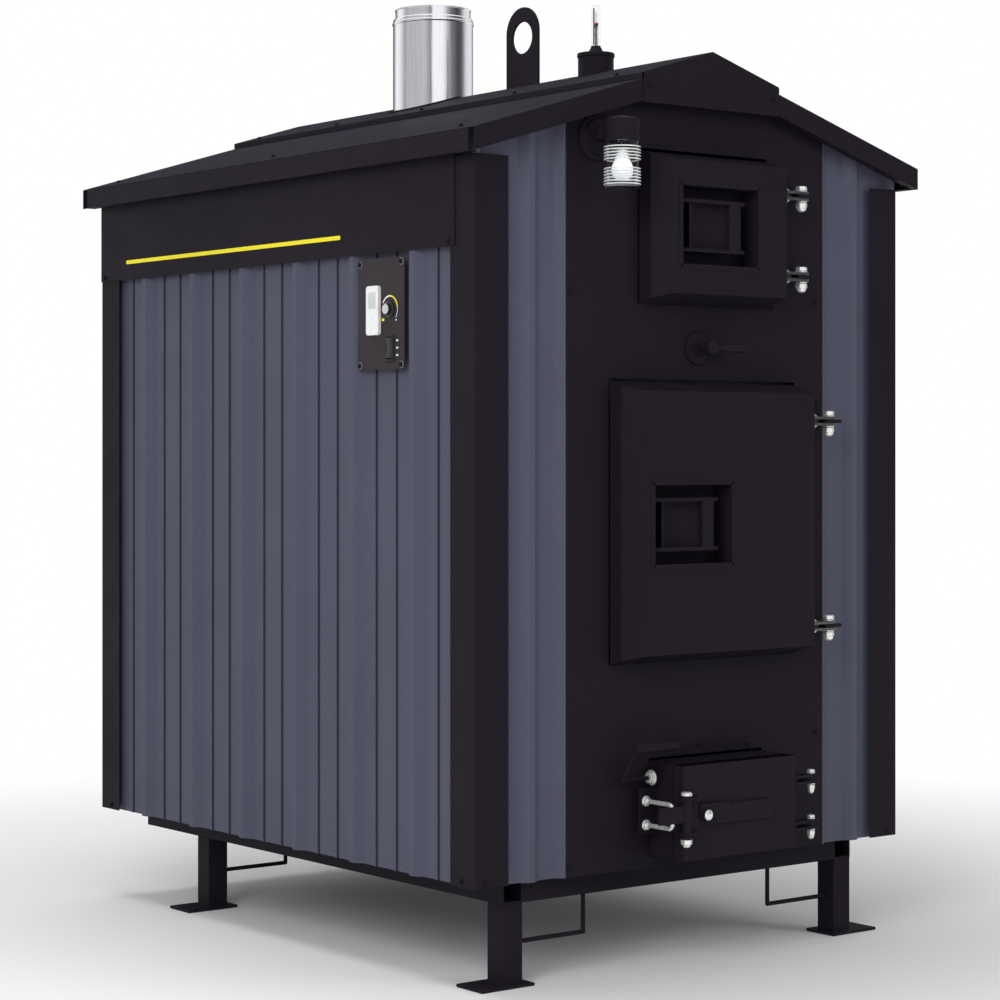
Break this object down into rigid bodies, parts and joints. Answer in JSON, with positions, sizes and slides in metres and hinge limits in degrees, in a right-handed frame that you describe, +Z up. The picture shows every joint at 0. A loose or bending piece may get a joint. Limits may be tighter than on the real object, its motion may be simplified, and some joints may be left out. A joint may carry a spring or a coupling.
{
  "type": "outdoor wood boiler",
  "caption": "Free-standing outdoor wood boiler: jacketed water tank around a firebox, with hinged doors, ash box, damper, shaker grate and chimney.",
  "frame": {"origin": "on the ground under the middle of the boiler's box", "axes": "+Z up, -Y out of the door side, +X to the right seen from the doors"},
  "size_m": [1.326, 1.856, 2.2583],
  "materials": {
    "black_sheet": "satin black painted sheet metal",
    "slate_sheet": "satin blue-grey painted ribbed sheet",
    "roof_sheet": "glossy charcoal painted sheet",
    "zinc": "bright zinc plate",
    "stainless": "stainless steel",
    "steel_plate": "mill finish steel plate",
    "cast_iron": "raw cast iron",
    "insulation_foam": "mineral wool board",
    "firebrick": "fired clay, buff",
    "gasket_rope": "woven glass rope",
    "clear_plastic": "clear",
    "jar_glass": "ribbed clear glass",
    "bulb_white": "opal white",
    "display_white": "white moulded plastic",
    "knob_plastic": "black moulded plastic",
    "float_red": "red moulded plastic",
    "galvanised": "galvanised pipe"
  },
  "bodies": {
    "boiler": {"legs": "black_sheet", "base_frame": "black_sheet", "jacket_frame": "steel_plate", "side_panels": "slate_sheet", "rear_panel": "slate_sheet", "front_rib_strips": "slate_sheet", "front_panel": "black_sheet", "corner_trims": "black_sheet", "sign_boards": "black_sheet", "roof_panels": "roof_sheet", "ridge_cap": "roof_sheet", "roof_fascias": "black_sheet", "sheet_screws": "black_sheet", "insulation": "insulation_foam", "water_tank": "steel_plate", "firebox": "steel_plate", "fire_tubes": "steel_plate", "firebricks": "firebrick", "grate_frame": "cast_iron", "damper_rosette": "black_sheet", "chimney_pipe": "stainless", "chimney_flashing": "roof_sheet", "lifting_lug": "black_sheet", "vent_pipe": "black_sheet", "level_tube": "clear_plastic", "lamp_housing": "black_sheet", "lamp_jar": "jar_glass", "lamp_bulb": "bulb_white", "control_plate": "black_sheet", "control_display": "display_white", "ash_u_bolt": "zinc", "hinge_bolts": "zinc", "hinge_plates": "black_sheet", "blower_housing": "black_sheet", "water_pipes": "galvanised"},
    "upper_door_body": {"upper_door": "black_sheet", "upper_door_liner": "steel_plate", "upper_door_gasket": "gasket_rope", "upper_door_clevises": "zinc"},
    "upper_paddle": {"upper_door_paddle": "black_sheet"},
    "upper_latch": {"upper_door_latch": "steel_plate"},
    "load_door_body": {"load_door": "black_sheet", "load_door_liner": "steel_plate", "load_door_gasket": "gasket_rope", "load_door_clevises": "zinc"},
    "load_paddle": {"load_door_paddle": "black_sheet"},
    "load_latch": {"load_door_latch": "steel_plate"},
    "ash_door_body": {"ash_door": "black_sheet", "ash_door_fittings": "black_sheet"},
    "ash_lever": {"ash_toggle_lever": "black_sheet"},
    "damper": {"damper_lever": "black_sheet", "damper_plate": "steel_plate"},
    "shaker": {"shaker_crank": "black_sheet"},
    "front_grate": {"grate_bar_front": "cast_iron"},
    "rear_grate": {"grate_bar_rear": "cast_iron"},
    "link": {"grate_link": "cast_iron"},
    "knob": {"control_knob": "knob_plastic"},
    "switch": {"power_switch": "knob_plastic"},
    "float": {"float_rod": "float_red"},
    "blower": {"blower_wheel": "galvanised"}
  },
  "joints": [
    {"name": "upper_door_swing", "type": "hinge", "parent": "boiler", "child": "upper_door_body", "pos_m": [0.272, -0.835, 1.464], "axis": [0, 0, 1], "range_deg": [0, 120]},
    {"name": "upper_paddle_pull", "type": "hinge", "parent": "upper_door_body", "child": "upper_paddle", "pos_m": [-0.106, -0.839, 1.55], "axis": [0, 0, -1], "range_deg": [0, 25], "stiffness_Nm_per_rad": 1.5},
    {"name": "upper_latch_slide", "type": "slide", "parent": "upper_door_body", "child": "upper_latch", "axis": [1, 0, 0], "range_m": [0, 0.0206]},
    {"name": "load_door_swing", "type": "hinge", "parent": "boiler", "child": "load_door_body", "pos_m": [0.359, -0.835, 0.676], "axis": [0, 0, 1], "range_deg": [0, 120]},
    {"name": "load_paddle_pull", "type": "hinge", "parent": "load_door_body", "child": "load_paddle", "pos_m": [-0.187, -0.839, 0.894], "axis": [0, 0, -1], "range_deg": [0, 25], "stiffness_Nm_per_rad": 1.5},
    {"name": "load_latch_slide", "type": "slide", "parent": "load_door_body", "child": "load_latch", "axis": [1, 0, 0], "range_m": [0, 0.0206]},
    {"name": "ash_door_swing", "type": "hinge", "parent": "boiler", "child": "ash_door_body", "pos_m": [0.261, -0.877, 0.252], "axis": [0, 0, 1], "range_deg": [0, 120]},
    {"name": "ash_lever_swing", "type": "hinge", "parent": "ash_door_body", "child": "ash_lever", "pos_m": [-0.152, -0.915, 0.35], "axis": [0, 0, 1], "range_deg": [0, 100]},
    {"name": "damper_turn", "type": "hinge", "parent": "boiler", "child": "damper", "pos_m": [-0.006, -0.832, 1.37], "axis": [0, -1, 0], "range_deg": [0, 80]},
    {"name": "shaker_turn", "type": "hinge", "parent": "boiler", "child": "shaker", "pos_m": [-0.15, -0.81, 0.426], "axis": [1, 0, 0], "range_deg": [-32, 20]},
    {"name": "front_grate_rock", "type": "hinge", "parent": "boiler", "child": "front_grate", "pos_m": [0, -0.34, 0.476], "axis": [1, 0, 0], "range_deg": [-32.1, 20.1]},
    {"name": "rear_grate_rock", "type": "hinge", "parent": "boiler", "child": "rear_grate", "pos_m": [0, -0.14, 0.476], "axis": [1, 0, 0], "range_deg": [-32.1, 20.1]},
    {"name": "link_slide", "type": "slide", "parent": "boiler", "child": "link", "axis": [0, 1, 0], "range_m": [-0.0401, 0.0401]},
    {"name": "knob_turn", "type": "hinge", "parent": "boiler", "child": "knob", "pos_m": [-0.6315, -0.485, 1.449], "axis": [-1, 0, 0], "range_deg": [-135, 135]},
    {"name": "switch_rock", "type": "hinge", "parent": "boiler", "child": "switch", "pos_m": [-0.631, -0.4875, 1.3645], "axis": [0, 1, 0], "range_deg": [-12, 12]},
    {"name": "float_rise", "type": "slide", "parent": "boiler", "child": "float", "axis": [0, 0, 1], "range_m": [0, 0.03]},
    {"name": "blower_spin", "type": "hinge", "parent": "boiler", "child": "blower", "pos_m": [-0.2, 0.7, 0.526], "axis": [0, 1, 0], "continuous": true}
  ],
  "couplings": [
    {"joint": "upper_latch_slide", "follows": "upper_paddle_pull", "m_per_rad": 0.047},
    {"joint": "load_latch_slide", "follows": "load_paddle_pull", "m_per_rad": 0.047},
    {"joint": "front_grate_rock", "follows": "shaker_turn", "ratio": 1},
    {"joint": "rear_grate_rock", "follows": "shaker_turn", "ratio": 1},
    {"joint": "link_slide", "follows": "shaker_turn", "m_per_rad": 0.07125}
  ]
}
